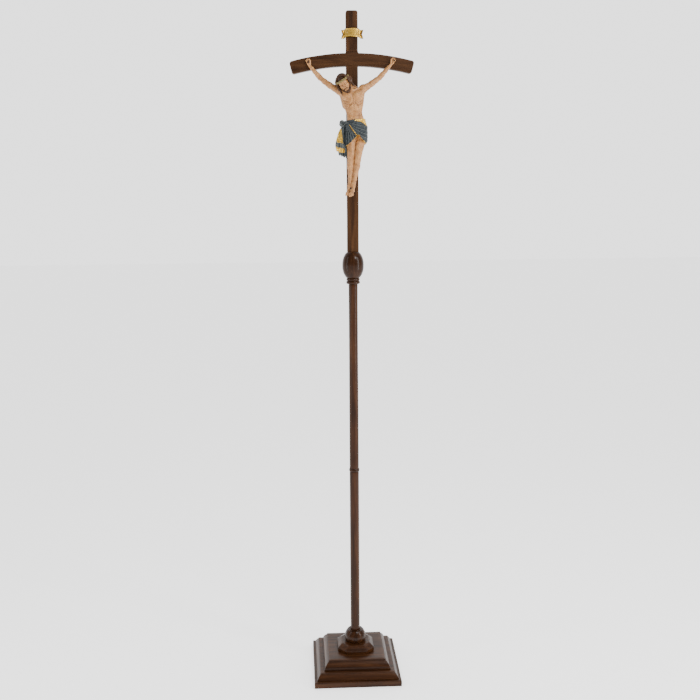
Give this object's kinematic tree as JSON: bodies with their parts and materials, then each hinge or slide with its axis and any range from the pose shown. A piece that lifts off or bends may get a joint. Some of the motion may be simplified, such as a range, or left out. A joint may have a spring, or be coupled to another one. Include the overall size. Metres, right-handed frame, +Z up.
{
  "type": "processional cross",
  "caption": "Tall processional cross on a stepped floor stand: a two-part turned staff with a knob, an arched crossbeam, a gilt scroll and a small carved and painted figure.",
  "frame": {"origin": "middle of the underside of the bottom slab, on the floor", "axes": "+Z up the staff, the figure faces -Y, +X to the viewer's right along the crossbeam"},
  "size_m": [0.3912, 0.294, 2.2],
  "materials": {
    "walnut_stain": "walnut stained, satin varnish",
    "pale_wood": "bare",
    "flesh_paint": "carved and painted, satin",
    "cloth_paint": "carved and painted, satin, gilt edges",
    "thorn_paint": "carved and painted, satin",
    "gilding": "gilded, satin",
    "steel": "zinc plated",
    "brass": "turned, satin",
    "dark_iron": "blackened",
    "leather_pad": "matt"
  },
  "bodies": {
    "stand": {"base_slab": "walnut_stain", "lower_moulding_board": "walnut_stain", "upper_moulding_board": "walnut_stain", "plinth_block": "walnut_stain", "socket_ball": "walnut_stain", "base_screw_1": "steel", "base_screw_2": "steel", "base_screw_3": "steel", "base_screw_4": "steel", "plinth_screw_1": "steel", "plinth_screw_2": "steel"},
    "socket_pad": {"rest_pad": "leather_pad"},
    "lower_staff": {"lower_pole": "walnut_stain", "coupling_stud": "brass"},
    "ring": {"coupling_ring": "walnut_stain"},
    "cross_head": {"upper_pole": "walnut_stain", "upper_insert": "brass", "head_rod": "steel", "knob_collar": "walnut_stain", "knob": "walnut_stain", "upright": "walnut_stain", "crossbeam": "walnut_stain", "lap_screw_1": "steel", "lap_screw_2": "steel", "titulus": "gilding", "titulus_pin_1": "brass", "titulus_pin_2": "brass", "corpus_torso": "flesh_paint", "corpus_arm_left": "flesh_paint", "corpus_arm_right": "flesh_paint", "arm_dowel_left": "pale_wood", "arm_dowel_right": "pale_wood", "corpus_loincloth": "cloth_paint", "loincloth_fall": "cloth_paint", "corpus_legs": "flesh_paint", "crown_of_thorns": "thorn_paint", "hand_nail_left": "dark_iron", "hand_nail_right": "dark_iron", "feet_nail": "dark_iron", "corpus_screw_1": "steel", "corpus_screw_2": "steel"}
  },
  "joints": [
    {"name": "staff_turn", "type": "hinge", "parent": "stand", "child": "socket_pad", "pos_m": [0, 0, 0.0425], "axis": [0, 0, 1], "continuous": true},
    {"name": "staff_lift", "type": "slide", "parent": "socket_pad", "child": "lower_staff", "axis": [0, 0, 1], "range_m": [0, 0.1]},
    {"name": "ring_rise", "type": "slide", "parent": "lower_staff", "child": "ring", "axis": [0, 0, 1], "range_m": [0, 0.0301]},
    {"name": "staff_unscrew", "type": "hinge", "parent": "ring", "child": "cross_head", "pos_m": [0, 0, 0.7218], "axis": [0, 0, 1], "range_deg": [0, 2160]}
  ],
  "couplings": [
    {"joint": "ring_rise", "follows": "staff_unscrew", "m_per_rad": 0.00079577}
  ]
}
